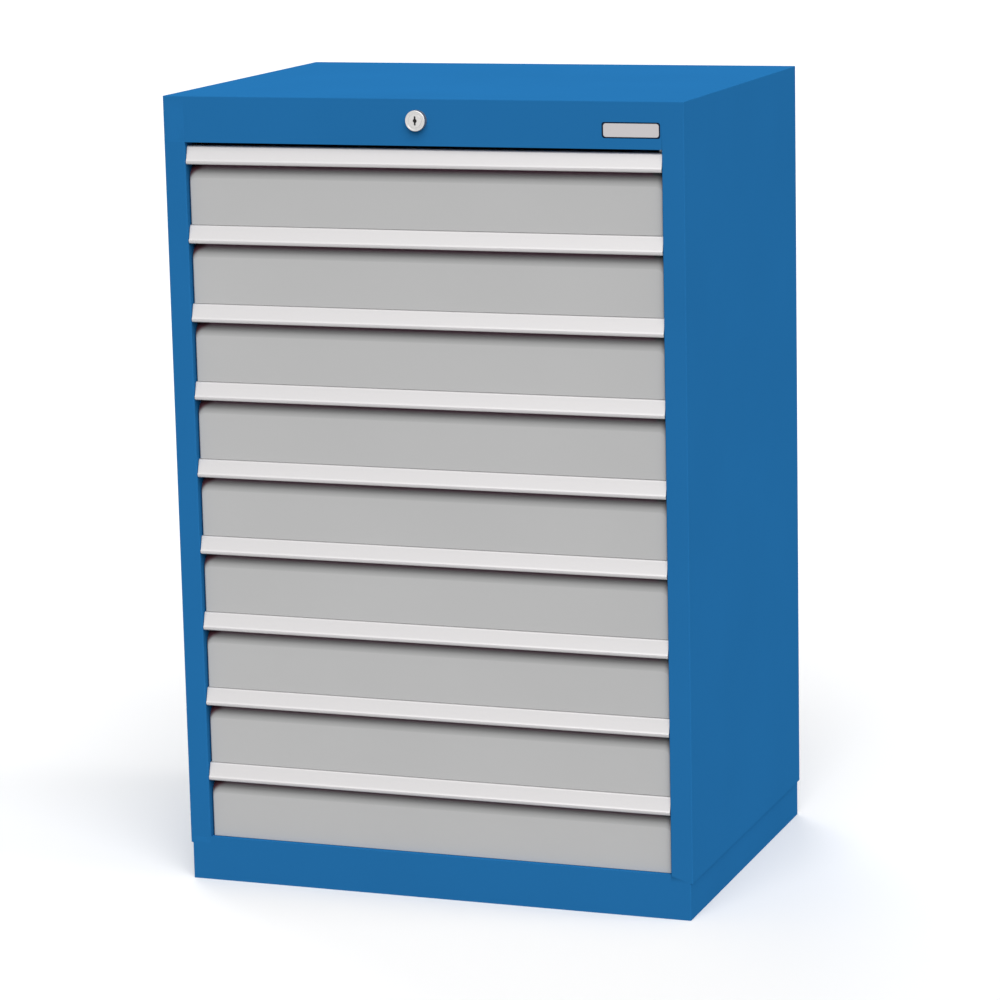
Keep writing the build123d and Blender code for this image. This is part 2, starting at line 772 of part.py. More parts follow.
def guide_stud(z):
    """A shouldered stud on the right post's lip, through the locking bar."""
    x = transfer_pin_x()
    shoulder = (post_depth, locking_bar_depth - bar_guide_gap)
    neck = (shoulder[1], locking_bar_depth + bar_thickness + bar_guide_gap)
    stud = rod_y(stud_radius + stud_shoulder, x, shoulder, z) + rod_y(stud_radius, x, neck, z)
    return stud + rod_y(stud_head_radius, x, (neck[1], neck[1] + stud_head_height), z)


def blind_rivet(x, y_span, z):
    """A rivet through the sheets in y_span, with a head at the back and an upset end."""
    rivet = rod_y(rivet_radius, x, y_span, z)
    rivet += rod_y(rivet_head_radius, x, (y_span[1], y_span[1] + rivet_head_height), z)
    return rivet + rod_y(rivet_head_radius, x, (y_span[0] - rivet_head_height, y_span[0]), z)


def base_bolt(x, y):
    """A bolt and nut through the floor and the plinth's flange."""
    low = plinth_height - plinth_sheet
    high = plinth_height + carcass_sheet
    hexagon = RegularPolygon(base_bolt_flats / 2, 6, major_radius=False)
    head = Pos(x, y, high) * extrude(hexagon, amount=base_bolt_head)
    nut = Pos(x, y, low - base_bolt_head) * extrude(hexagon, amount=base_bolt_head)
    return head + rod_z(base_bolt_radius, x, y, (low, high)) + nut


def lock_nut():
    """The nut that clamps the lock's housing behind the rail."""
    hexagon = RegularPolygon(lock_nut_flats / 2, 6, major_radius=False)
    span = (carcass_sheet, carcass_sheet + lock_nut_thickness)
    nut = Pos(0, span[1], lock_z) * Rot(90, 0, 0) * extrude(hexagon, amount=lock_nut_thickness)
    return nut - rod_y(lock_body_radius, 0, span, lock_z)


def fixings():
    """Every rivet, bolt, stud and nut of the carcass, as separate solids."""
    side_span = (back_plane, cabinet_depth)
    edge_span = (back_plane - carcass_sheet, back_plane + back_sheet)
    side_places = [(x, z) for x in (-side_rivet_x, side_rivet_x) for z in side_rivet_heights]
    pieces = [blind_rivet(x, side_span, z) for x, z in side_places]
    pieces += [blind_rivet(x, edge_span, z) for x in edge_rivet_places for z in edge_rivet_heights]
    pieces += [guide_stud(z) for z in stud_heights()]
    pieces += [base_bolt(x, y) for x, y in base_bolt_points()]
    return pieces + [lock_nut()]


def build_cabinet():
    """Write what stands still."""
    side = side_panel()
    export_node("right_side", [side])
    export_node("left_side", [mirrored(side)])
    export_node("top_panel", [top_panel()])
    export_node("front_rail", [front_rail()])
    export_node("bottom_panel", [bottom_panel()])
    export_node("back_panel", [back_panel()])
    export_node("plinth", [plinth()])
    right_uprights = [upright(start) for start in upright_starts()]
    export_node("uprights", right_uprights + [mirrored(piece) for piece in right_uprights])
    right_rails = [cabinet_rail(i) for i in range(drawer_count)]
    export_node("cabinet_rails", right_rails + [mirrored(piece) for piece in right_rails])
    export_node("nameplate", [nameplate()])
    export_node("fixings", fixings())
    export_node("lock_housing", [lock_housing()])


def build_lock():
    """Write the lock's moving pieces."""
    export_node("lock_plug", [lock_plug(), crank(), crank_screw()])
    export_node("transfer_bar", [transfer_bar()])
    export_node("locking_bar", locking_bar())


def build_drawer(index):
    """Write one drawer and its runner, numbered from the top."""
    number = index + 1
    export_node(f"drawer_{number}_front", [drawer_front(index)])
    export_node(f"drawer_{number}_handle", [drawer_handle(index)])
    export_node(f"drawer_{number}_tray", [drawer_tray(index)])
    export_node(f"drawer_{number}_fittings", drawer_fittings(index))
    export_node(f"runner_{number}", runner_pieces(index))


os.makedirs("parts", exist_ok=True)
build_cabinet()
build_lock()
for drawer_index in range(drawer_count):
    build_drawer(drawer_index)
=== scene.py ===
import math

import bmesh
import bpy
from mathutils import Matrix, Vector


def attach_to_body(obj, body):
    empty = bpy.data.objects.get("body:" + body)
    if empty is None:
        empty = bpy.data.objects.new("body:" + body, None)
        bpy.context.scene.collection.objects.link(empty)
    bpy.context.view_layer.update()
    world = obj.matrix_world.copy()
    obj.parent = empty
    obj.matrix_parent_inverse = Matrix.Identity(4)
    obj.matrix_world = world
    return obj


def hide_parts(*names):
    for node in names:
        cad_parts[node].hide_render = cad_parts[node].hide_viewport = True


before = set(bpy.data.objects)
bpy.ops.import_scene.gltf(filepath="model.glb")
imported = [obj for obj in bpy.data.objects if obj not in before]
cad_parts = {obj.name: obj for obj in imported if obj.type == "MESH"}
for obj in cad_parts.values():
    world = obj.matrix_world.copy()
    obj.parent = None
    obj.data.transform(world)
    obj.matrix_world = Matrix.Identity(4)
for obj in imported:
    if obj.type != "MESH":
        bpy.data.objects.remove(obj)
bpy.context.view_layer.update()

# The cabinet's plan is drawn from the plane of its front frame, which stands here, in metres.
FRONT = -0.2466

# The carcass in millimetres: across from the middle, back from the front frame, up from the floor.
HALF_WIDTH = 341
DEPTH = 500
HEIGHT = 1019
SHEET = 1.5
PLINTH_TOP = 48
POST_DEPTH = 26
OPENING_HALF = 313
OPENING_LOW = 57
OPENING_TOP = 961

# The drawers: their pitch in metres, and the upper edge of the top one in millimetres.
DRAWERS = 9
PITCH = 0.1
DRAWER_TOP = 956.0

# Axes by number, the distance in metres within which two places count as the same, and the sides of
# a round piece.
X, Y, Z = 0, 1, 2
CLOSE_BY = 2e-5
ROUND = 96


def at(across, back, up):
    """A point in metres from millimetres to the right, back from the front frame and up."""
    return Vector((across / 1000, FRONT + back / 1000, up / 1000))


# Materials


def material(name, colour, roughness, metallic=0.0, gleam=0.5):
    """A plain material, to which the finishes below add their texture."""
    made = bpy.data.materials.new(name)
    made.use_nodes = True
    surface = made.node_tree.nodes["Principled BSDF"]
    surface.inputs["Base Color"].default_value = (*colour, 1.0)
    surface.inputs["Roughness"].default_value = roughness
    surface.inputs["Metallic"].default_value = metallic
    surface.inputs["Specular IOR Level"].default_value = gleam
    return made


def add_node(made, kind, **values):
    """Adds a shader node. A value whose name begins with in_ goes to the input of that name."""
    node = made.node_tree.nodes.new(kind)
    for key, value in values.items():
        if key.startswith("in_"):
            node.inputs[key[3:].replace("_", " ")].default_value = value
        else:
            setattr(node, key, value)
    return node


def join(made, source, target):
    """Links two sockets of a material."""
    made.node_tree.links.new(source, target)


def add_texture(made, texture, roughness, strength, distance, gloss_range):
    """Lets a texture raise the surface a little and vary its gloss round the given roughness."""
    surface = made.node_tree.nodes["Principled BSDF"]
    bump = add_node(made, "ShaderNodeBump", in_Strength=strength, in_Distance=distance)
    join(made, texture.outputs["Fac"], bump.inputs["Height"])
    join(made, bump.outputs["Normal"], surface.inputs["Normal"])
    less, more = gloss_range
    gloss = add_node(made, "ShaderNodeMapRange", in_To_Min=roughness - less, in_To_Max=roughness + more)
    join(made, texture.outputs["Fac"], gloss.inputs["Value"])
    join(made, gloss.outputs["Result"], surface.inputs["Roughness"])


def powder_coat(name, colour, roughness, spread, gleam):
    """Baked powder paint: a faint orange-peel bump and slight changes of tone and gloss."""
    made = material(name, colour, roughness, gleam=gleam)
    surface = made.node_tree.nodes["Principled BSDF"]
    place = add_node(made, "ShaderNodeTexCoord")
    peel = add_node(made, "ShaderNodeTexNoise", in_Scale=420.0, in_Detail=2.0, in_Roughness=0.45)
    join(made, place.outputs["Object"], peel.inputs["Vector"])
    add_texture(made, peel, roughness, 0.12, 0.0004, (0.04, 0.05))
    cloud = add_node(made, "ShaderNodeTexNoise", in_Scale=5.0, in_Detail=3.0, in_Roughness=0.5)
    join(made, place.outputs["Object"], cloud.inputs["Vector"])
    tone = add_node(made, "ShaderNodeValToRGB")
    darker, lighter = tone.color_ramp.elements
    darker.position = 0.3
    darker.color = (*(value * (1 - spread) for value in colour), 1.0)
    lighter.position = 0.7
    lighter.color = (*(min(1.0, value * (1 + spread)) for value in colour), 1.0)
    join(made, cloud.outputs["Fac"], tone.inputs["Fac"])
    join(made, tone.outputs["Color"], surface.inputs["Base Color"])
    return made


def grained_metal(name, colour, roughness, stretch, metallic, depth):
    """Metal with a fine grain of some depth that runs along the axis whose stretch is small."""
    made = material(name, colour, roughness, metallic)
    place = add_node(made, "ShaderNodeTexCoord")
    lay = add_node(made, "ShaderNodeMapping", in_Scale=stretch)
    join(made, place.outputs["Object"], lay.inputs["Vector"])
    grain = add_node(made, "ShaderNodeTexNoise", in_Scale=1.0, in_Detail=3.0, in_Roughness=0.6)
    join(made, lay.outputs["Vector"], grain.inputs["Vector"])
    add_texture(made, grain, roughness, depth, 0.0002, (0.06, 0.08))
    return made


GREY_PAINT = (0.488, 0.488, 0.488)
LONG_GRAIN = (3.0, 900.0, 900.0)
GRAIN = (300.0, 300.0, 300.0)
FINE_GRAIN = (500.0, 500.0, 500.0)

blue = powder_coat("blue_powder_coat", (0.0173, 0.150, 0.378), roughness=0.6, spread=0.02, gleam=0.0)
grey = powder_coat("grey_powder_coat", GREY_PAINT, roughness=0.55, spread=0.015, gleam=0.2)
# The fronts' grey is the same powder coat, with painted shade added to it in the finger recess below.
front_grey_painted_shade = powder_coat("drawer_front_grey", GREY_PAINT, roughness=0.55, spread=0.015, gleam=0.2)
plate_grey = powder_coat("nameplate_grey", (0.60, 0.57, 0.58), roughness=0.5, spread=0.01, gleam=0.1)
# The near-black of the nameplate's frame is painted shade for the gap round the plate.
dark_rim = powder_coat("dark_rim", (0.004, 0.012, 0.032), roughness=0.6, spread=0.05, gleam=0.1)
# The black of the keyhole's insert is painted shade for the dark inside of the keyhole.
keyway_black = powder_coat("keyway_black", (0.01, 0.01, 0.01), roughness=0.5, spread=0.1, gleam=0.2)
aluminium = grained_metal("anodised_aluminium", (0.595, 0.582, 0.585), 0.42, LONG_GRAIN, 0.35, 0.05)
zinc = grained_metal("zinc_plated_steel", (0.62, 0.63, 0.64), 0.38, GRAIN, 1.0, 0.03)
nickel = grained_metal("lock_nickel", (0.62, 0.61, 0.60), 0.3, FINE_GRAIN, 0.8, 0.02)
# The collar's darker metal is painted shade: a darker copy of the lock's nickel for the shaded side wall
# of the housing.
collar_painted_shade = grained_metal("lock_collar_grey", (0.27, 0.26, 0.26), 0.4, FINE_GRAIN, 0.6, 0.02)

# The sockets of a node that mixes two colours: its factor, the colours and the result.
FACTOR, FIRST, SECOND, MIXED = 0, 6, 7, 2


def paint_recess_shade(made, corner_painted_shade, steps):
    """Painted shade: darkens the paint step by step up the scoop and at its left end, by values in the
    mesh.
    """
    surface = made.node_tree.nodes["Principled BSDF"]
    paint = surface.inputs["Base Color"].links[0].from_socket
    share = add_node(made, "ShaderNodeAttribute", attribute_name="recess")
    ramp = add_node(made, "ShaderNodeValToRGB")
    while len(ramp.color_ramp.elements) < len(steps):
        ramp.color_ramp.elements.new(0.5)
    for element, (place, tone) in zip(ramp.color_ramp.elements, steps):
        element.position = place
        element.color = (*tone, 1.0)
    join(made, share.outputs["Fac"], ramp.inputs["Fac"])
    blend = add_node(made, "ShaderNodeMix", data_type="RGBA", blend_type="MULTIPLY")
    blend.inputs[FACTOR].default_value = 1.0
    join(made, paint, blend.inputs[FIRST])
    join(made, ramp.outputs["Color"], blend.inputs[SECOND])
    ends = add_node(made, "ShaderNodeAttribute", attribute_name="corner")
    painted_shade_mix = add_node(made, "ShaderNodeMix", data_type="RGBA")
    painted_shade_mix.inputs[SECOND].default_value = (*corner_painted_shade, 1.0)
    join(made, ends.outputs["Fac"], painted_shade_mix.inputs[FACTOR])
    join(made, blend.outputs[MIXED], painted_shade_mix.inputs[FIRST])
    join(made, painted_shade_mix.outputs[MIXED], surface.inputs["Base Color"])


# Up to this share of the scoop's rise its painted shade is a plain grey, and above it a warm one.
PLAIN_SHADE = 0.584

# Painted shade: up the scoop the paint grows darker, and warmer near the top where the handle's shade
# falls. The first tone is the painted shade at the scoop's left end.
paint_recess_shade(front_grey_painted_shade, (0.075, 0.024, 0.032), (
    (0.0, (1.0, 1.0, 1.0)),
    (0.06, (0.88, 0.88, 0.88)),
    (0.195, (0.74, 0.74, 0.74)),
    (0.32, (0.62, 0.62, 0.62)),
    (0.45, (0.45, 0.45, 0.45)),
    (PLAIN_SHADE, (0.38, 0.375, 0.38)),
    (0.716, (0.45, 0.34, 0.39)),
    (0.85, (0.66, 0.33, 0.46)),
    (1.0, (0.66, 0.30, 0.42)),
))


def finish_of(name):
    """The finish of a CAD node, by its name."""
    if name == "nameplate":
        return plate_grey
    if name in ("lock_housing", "lock_plug"):
        return nickel
    if name.endswith("_handle"):
        return aluminium
    if name.endswith(("_front", "_tray")):
        return grey
    if name in ("fixings", "cabinet_rails", "transfer_bar", "locking_bar"):
        return zinc
    if name.startswith("runner_") or name.endswith("_fittings"):
        return zinc
    return blue


for node_name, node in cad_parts.items():
    node.data.materials.clear()
    node.data.materials.append(finish_of(node_name))


# Modelling helpers


def near(value, place):
    """Do two measures in metres count as the same?"""
    return abs(value - place) < CLOSE_BY


def lies(corners, x=None, y=None, z=None):
    """Do all of a face's or edge's corners lie at these millimetres of the cabinet?"""
    wanted = ((X, x, 0.0), (Y, y, FRONT), (Z, z, 0.0))
    return all(
        near(corner[axis], value / 1000 + shift)
        for axis, value, shift in wanted
        if value is not None
        for corner in corners
    )


def spans(corners, axis, least):
    """Does an edge reach along an axis by more than this many millimetres?"""
    return abs(corners[0][axis] - corners[1][axis]) > least / 1000


def close():
    """Ends the editing of a piece."""
    bpy.ops.object.mode_set(mode="OBJECT")


def let_go():
    """Ends any editing and selects nothing."""
    if bpy.context.object and bpy.context.object.mode != "OBJECT":
        close()
    bpy.ops.object.select_all(action="DESELECT")


def alone(piece):
    """Makes a piece the only one selected, in object mode."""
    let_go()
    piece.select_set(True)
    bpy.context.view_layer.objects.active = piece


def edit(piece, kind):
    """Opens a piece for editing by VERT, EDGE or FACE, with nothing selected."""
    alone(piece)
    bpy.ops.object.mode_set(mode="EDIT")
    bpy.ops.mesh.select_mode(type=kind)
    bpy.ops.mesh.select_all(action="DESELECT")


def pick(test):
    """Adds to the selection each edge or face whose corners pass the test."""
    mesh = bpy.context.object.data
    shape = bmesh.from_edit_mesh(mesh)
    by_face = bpy.context.tool_settings.mesh_select_mode[2]
    for part in shape.faces if by_face else shape.edges:
        if test([corner.co for corner in part.verts]):
            part.select_set(True)
    bmesh.update_edit_mesh(mesh)


def start(name):
    """Names the primitive just added, applies its place and gives it back."""
    piece = bpy.context.object
    piece.name = name
    bpy.ops.object.transform_apply(location=True, rotation=True, scale=True)
    return piece


def block(name, low, high):
    """A box between two opposite corners in metres."""
    let_go()
    bpy.ops.mesh.primitive_cube_add(size=1.0, location=(low + high) / 2, scale=high - low)
    return start(name)


def turned_disc(name, radius, centre, front, back, sides=ROUND):
    """A round bar along the depth, from front to back in millimetres."""
    let_go()
    bpy.ops.mesh.primitive_cylinder_add(
        vertices=sides,
        radius=radius / 1000,
        depth=(back - front) / 1000,
        location=at(centre[0], (front + back) / 2, centre[1]),
        rotation=(math.pi / 2, 0.0, 0.0),
    )
    return start(name)


def move(value):
    """Extrudes the selection by a shift in metres."""
    bpy.ops.mesh.extrude_region_move(TRANSFORM_OT_translate={"value": value})


def draw_section(name, points, closed=False):
    """Draws a section point by point from a plane shrunk to one point."""
    let_go()
    bpy.ops.mesh.primitive_plane_add(size=0.01)
    piece = start(name)
    bpy.ops.object.mode_set(mode="EDIT")
    bpy.ops.mesh.select_mode(type="VERT")
    bpy.ops.mesh.select_all(action="SELECT")
    bpy.ops.mesh.merge(type="CENTER")
    bpy.ops.transform.translate(value=points[0])
    for before, after in zip(points, points[1:]):
        move(after - before)
    bpy.ops.mesh.select_all(action="SELECT")
    if closed:
        bpy.ops.mesh.edge_face_add()
    return piece


def divide(axis, measure, test=None):
    """Divides the mesh, or only the faces that pass a test, at a measure along an axis."""
    place, normal = [0.0, 0.0, 0.0], [0.0, 0.0, 0.0]
    place[axis] = measure
    normal[axis] = 1.0
    bpy.ops.mesh.select_all(action="DESELECT" if test else "SELECT")
    if test:
        pick(test)
    bpy.ops.mesh.bisect(plane_co=at(*place), plane_no=normal)


def face_out(test, direction):
    """Turns the whole mesh over if the face that passes the test looks the wrong way."""
    bpy.ops.mesh.select_mode(type="FACE")
    bpy.ops.mesh.select_all(action="SELECT")
    bpy.ops.mesh.normals_make_consistent(inside=False)
    shape = bmesh.from_edit_mesh(bpy.context.object.data)
    for face in shape.faces:
        if test([corner.co for corner in face.verts]) and face.normal.dot(direction) < 0:
            bpy.ops.mesh.flip_normals()
            break


def apply_modifier(piece, kind, **values):
    """Adds a modifier with its settings and applies it at once."""
    alone(piece)
    modifier = piece.modifiers.new(kind.lower(), kind)
    for key, value in values.items():
        setattr(modifier, key, value)
    bpy.ops.object.modifier_apply(modifier=modifier.name)


def thicken(piece, sheet):
    """Gives a surface the thickness of its sheet, in millimetres, on its inner side."""
    apply_modifier(piece, "SOLIDIFY", thickness=sheet / 1000, offset=-1.0, use_even_offset=True)


def smooth(piece, angle=30):
    """Shades a piece smooth over edges that turn less than an angle in degrees."""
    alone(piece)
    bpy.ops.object.shade_smooth_by_angle(angle=math.radians(angle))
    apply_modifier(piece, "WEIGHTED_NORMAL", keep_sharp=True)


def soften(piece, width, angle=40):
    """Rounds every edge that turns more than an angle in degrees, by a width in millimetres."""
    limit = math.radians(angle)
    apply_modifier(piece, "BEVEL", width=width / 1000, segments=2, limit_method="ANGLE", angle_limit=limit)


def round_edges(test, radius, segments=3):
    """Rounds the edges that pass the test, in millimetres."""
    bpy.ops.mesh.select_mode(type="EDGE")
    bpy.ops.mesh.select_all(action="DESELECT")
    pick(test)
    bpy.ops.mesh.bevel(offset=radius / 1000, offset_type="OFFSET", segments=segments, affect="EDGES")


def carve(piece, other, operation):
    """Cuts another piece out or unites the two, and clears the slivers that this leaves."""
    apply_modifier(piece, "BOOLEAN", operation=operation, solver="EXACT", object=other)
    bpy.data.objects.remove(other)
    edit(piece, "VERT")
    bpy.ops.mesh.select_all(action="SELECT")
    bpy.ops.mesh.dissolve_degenerate(threshold=1e-5)
    bpy.ops.mesh.remove_doubles(threshold=1e-5)
    close()


def attach(piece, other):
    """Takes another piece's mesh into a piece as it is."""
    alone(piece)
    other.select_set(True)
    bpy.ops.object.join()


def shift_by(piece, shift):
    """Moves the selected piece by a shift in metres and applies it to the mesh."""
    bpy.ops.transform.translate(value=shift)
    bpy.ops.object.transform_apply(location=True, rotation=True, scale=True)
    return piece


def copy_of(piece, name, shift):
    """A copy with its own mesh, moved by a shift."""
    alone(piece)
    bpy.ops.object.duplicate(linked=False)
    made = bpy.context.object
    made.name = name
    return shift_by(made, shift)


def dress(piece, finish, body, node):
    """Gives a finished piece its finish and its body, and hides the CAD node that it stands for."""
    piece.data.name = piece.name
    piece.data.materials.clear()
    piece.data.materials.append(finish)
    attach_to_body(piece, body)
    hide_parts(node)


def numbered(name, number):
    """The name that a piece, body or node of drawer 1 has in another drawer."""
    return name.replace("_1", f"_{number}", 1)


def down_the_stack(first, finish, body, node, last=DRAWERS):
    """Copies the top drawer's piece to each drawer below, down to the last one given, and dresses them
    all.
    """
    for number in range(1, last + 1):
        piece = first
        if number > 1:
            piece = copy_of(first, numbered(first.name, number), (0.0, 0.0, -PITCH * (number - 1)))
        dress(piece, finish, numbered(body, number), numbered(node, number))


# Carcass


def side_sheet(name, side):
    """A side with its front post and rear flange, folded from one sheet."""
    post_end, flange_end = side * 331, side * 319
    outside, inside = side * HALF_WIDTH, side * OPENING_HALF
    bend, outer_bend = 1.6, 1.0
    plan = (
        (post_end, POST_DEPTH),
        (inside, POST_DEPTH),
        (inside, 0),
        (outside, 0),
        (outside, DEPTH),
        (flange_end, DEPTH),
    )
    piece = draw_section(name, [at(x, y, PLINTH_TOP) for x, y in plan])
    move((0.0, 0.0, (HEIGHT - SHEET - PLINTH_TOP) / 1000))
    divide(Z, OPENING_LOW)
    divide(Z, OPENING_TOP)
    face_out(lambda c: lies(c, x=outside), Vector((side, 0.0, 0.0)))
    low, high = (OPENING_LOW - 0.1) / 1000, (OPENING_TOP + 0.1) / 1000
    round_edges(lambda c: lies(c, x=inside, y=0) and all(low < p.z < high for p in c), bend)
    round_edges(lambda c: lies(c, x=outside, y=0) or lies(c, x=outside, y=DEPTH), outer_bend)
    round_edges(lambda c: lies(c, x=inside, y=POST_DEPTH), bend)
    close()
    thicken(piece, SHEET)
    smooth(piece)
    return piece


def top_sheet():
    """The top with its edges rounded and stiffening flanges turned down inside."""
    underside = HEIGHT - SHEET
    side_flange, back_flange, flange_depth = HALF_WIDTH - SHEET, DEPTH - 2.5, 20
    piece = block("top_sheet", at(-HALF_WIDTH, 0, underside), at(HALF_WIDTH, DEPTH, HEIGHT))
    edit(piece, "FACE")
    for x in (-side_flange, SHEET - side_flange, side_flange - SHEET, side_flange):
        divide(X, x, lambda c: lies(c, z=underside))
    for y in (POST_DEPTH, back_flange - SHEET, back_flange):
        divide(Y, y, lambda c: lies(c, z=underside))
    bpy.ops.mesh.select_mode(type="FACE")
    bpy.ops.mesh.select_all(action="DESELECT")

    def is_flange(corners):
        """Does a face lie in the narrow band just inside the sides and the back?"""
        if not lies(corners, z=underside):
            return False
        middle = sum(corners, Vector()) / len(corners)
        across, back = abs(middle.x) * 1000, (middle.y - FRONT) * 1000
        within = across < side_flange and POST_DEPTH < back < back_flange
        hollow = across < side_flange - SHEET and back < back_flange - SHEET
        return within and not hollow

    def is_rim(corners):
        """Does an edge lie on the upper face, within a short reach of its outline?"""
        reach = 1.2
        low, high = at(reach - HALF_WIDTH, reach, 0), at(HALF_WIDTH - reach, DEPTH - reach, 0)
        outer = all(not (low.x <= p.x <= high.x and low.y <= p.y <= high.y) for p in corners)
        return outer and lies(corners, z=HEIGHT)

    def is_corner(corners):
        """Is an edge one of the four upright ones at the sheet's corners?"""
        tall = abs(corners[0].z - corners[1].z)
        return all(near(abs(p.x), HALF_WIDTH / 1000) for p in corners) and near(tall, SHEET / 1000)

    pick(is_flange)
    move((0.0, 0.0, -flange_depth / 1000))
    round_edges(is_corner, 1.0)
    round_edges(is_rim, 0.8)
    close()
    smooth(piece)
    return piece


dress(side_sheet("left_side_sheet", -1), blue, "cabinet", "left_side")
dress(side_sheet("right_side_sheet", 1), blue, "cabinet", "right_side")
dress(top_sheet(), blue, "cabinet", "top_panel")


# Drawer fronts and handle strips
# Millimetres from the cabinet's middle, from its front frame and from the drawer's upper edge.

HANDLE_HALF = 312.3
HANDLE_BACK = 24
HANDLE_WALL = 1.8
HANDLE_EDGE = 6
LEG_HALF = 309.8
LEG_LOW = -15.8

FRONT_HALF = 311.5
FRONT_FACE = 7.5
FRONT_BACK = 26.0
FRONT_SHEET = 1.2
FRONT_BOTTOM = -99.8
LAST_BOTTOM = -98.8
EDGE_ROLL = 2.0
BOTTOM_ROLL = 0.7

# The rear lips start at this height and reach this far in.
LIP_TOP = -22.0
LIP_WIDTH = 36

# The scoop that makes room for the fingers: its start, rise and depth, its rounded lower corners, and
# the width over which it rises at its ends.
SCOOP_START = -41.0
SCOOP_RISE = 19.0
SCOOP_DEPTH = 13.5
SCOOP_CORNER = 9.0
SCOOP_END_WIDTH = 2.5

# The painted shade at the scoop's left end: an ellipse's outline, the turn in degrees at which it fades
# out, the turn over which it does so, and the share of the ellipse over which its edge is soft.
SHADE_WIDTH = 22.0
SHADE_HEIGHT = 19.0
SHADE_TOP = -30.0
SHADE_TURN = 88.0
SHADE_TURN_FADE = 20.0
SHADE_EDGE = 0.2

# From here outwards the recess's right end keeps the plain grey of its painted shade. Before it the limit
# falls by 1 in this width.
PLAIN_END = 300.0
PLAIN_END_FADE = 20.0

# Where a front's face is divided: finely at the ends and over the scoop.
COLUMNS = (
    289.5, 293, 296, 298.2, 300.4, 302, 302.9, 304.3,
    305.7, 307, 308.1, 309, 309.8, 310.4, 310.9, 311.25,
)
ROWS = (
    -23.5, -25, -27, -29, -31, -33, -35, -37, -38.5, -39.7, -41,
    -42.5, -44, -45.5, -47, -48.5, -50, -53, -56, -59, -63,
)


def rolled(radius, past):
    """How far back a rounded edge lies at a distance past its start."""
    return radius - math.sqrt(max(radius**2 - past**2, 0.0))


def limited(value):
    """A value held between 0 and 1."""
    return min(1.0, max(0.0, value))


def scoop_share(across, up):
    """How much of the scoop's rise lies below a point, from 0 to 1."""
    beside = max(abs(across) - (FRONT_HALF - SCOOP_CORNER), 0.0)
    above = max(up - (SCOOP_START - SCOOP_CORNER), 0.0)
    past = max(math.hypot(beside, above) - SCOOP_CORNER, 0.0) if above > 0.0 else 0.0
    turn = math.atan2(above, beside)
    width = SCOOP_END_WIDTH + (SCOOP_RISE - SCOOP_END_WIDTH) * math.sin(turn) ** 2
    return min(1.0, past / width)


def scooped(across, up):
    """How far back of its flat face the front lies, in millimetres."""
    radius = (SCOOP_RISE**2 + SCOOP_DEPTH**2) / (2 * SCOOP_DEPTH)
    depth = rolled(radius, SCOOP_RISE * scoop_share(across, up))
    return max(depth, rolled(EDGE_ROLL, max(abs(across) - (FRONT_HALF - EDGE_ROLL), 0.0)))


def painted_left_end_shade(across, up):
    """How deep in the painted shade of the scoop's left end a point lies, from 0 to 1."""
    beside = (-across - (FRONT_HALF - SHADE_WIDTH)) / SHADE_WIDTH
    above = (up - (SHADE_TOP - SHADE_HEIGHT)) / SHADE_HEIGHT
    if beside <= 0.0 or above <= 0.0:
        return 0.0
    past = math.hypot(beside, above) - 1.0
    turn = math.degrees(math.atan2(above, beside))
    return limited((SHADE_TURN - turn) / SHADE_TURN_FADE) * limited(past / SHADE_EDGE)


def right_end_shade_limit(across):
    """The painted shade of the recess stays a plain dark grey near its right end, where it can be seen
    from the side.
    """
    return min(1.0, max(PLAIN_SHADE, PLAIN_SHADE + (PLAIN_END - across) / PLAIN_END_FADE))


def drawn_face(name, bottom):
    """A front's face, divided, drawn back in the scoop and at its edges, and toned by its painted shade.
    """
    ends = [at(-FRONT_HALF, FRONT_FACE, DRAWER_TOP + z) for z in (bottom, -HANDLE_WALL)]
    piece = draw_section(name, ends)
    move((2 * FRONT_HALF / 1000, 0.0, 0.0))
    for x in [side * column for side in (-1, 1) for column in COLUMNS]:
        divide(X, x)
    for z in (LIP_TOP, *ROWS, *(bottom + BOTTOM_ROLL / part for part in (1, 2, 8))):
        divide(Z, DRAWER_TOP + z)
    shape = bmesh.from_edit_mesh(piece.data)
    # Each corner keeps two values for the painted shade: recess, up the scoop, and corner, at its left
    # end.
    recess = shape.verts.layers.float.new("recess")
    left_end = shape.verts.layers.float.new("corner")
    for corner in shape.verts:
        across = corner.co.x * 1000
        up = corner.co.z * 1000 - DRAWER_TOP
        if abs(across) < FRONT_HALF - 0.1:
            corner[recess] = min(scoop_share(across, up), right_end_shade_limit(across))
            corner[left_end] = painted_left_end_shade(across, up)
        tucked = max(bottom + BOTTOM_ROLL - up, 0.0)
        corner.co.y += (scooped(across, up) + rolled(BOTTOM_ROLL, tucked)) / 1000
    bmesh.update_edit_mesh(piece.data)
    face_out(lambda c: lies(c, y=FRONT_FACE), Vector((0.0, -1.0, 0.0)))
    return piece


def drawer_front(name, bottom):
    """A front of drawn sheet: flat face, scooped back under the handle, and rear lips."""
    piece = drawn_face(name, bottom)
    bpy.ops.mesh.select_mode(type="EDGE")
    bpy.ops.mesh.select_all(action="DESELECT")
    pick(lambda c: all(near(abs(p.x), FRONT_HALF / 1000) for p in c) or lies(c, z=DRAWER_TOP + bottom))
    move((0.0, 0.03, 0.0))
    bpy.ops.transform.resize(value=(1.0, 0.0, 1.0), center_override=at(0, FRONT_BACK, 0))
    top = (DRAWER_TOP + LIP_TOP + 0.1) / 1000
    for side in (-1, 1):
        bpy.ops.mesh.select_all(action="DESELECT")
        pick(lambda c: lies(c, x=side * FRONT_HALF, y=FRONT_BACK) and all(p.z < top for p in c))
        move((-side * LIP_WIDTH / 1000, 0.0, 0.0))
    close()
    thicken(piece, FRONT_SHEET)
    smooth(piece, 40)
    return piece


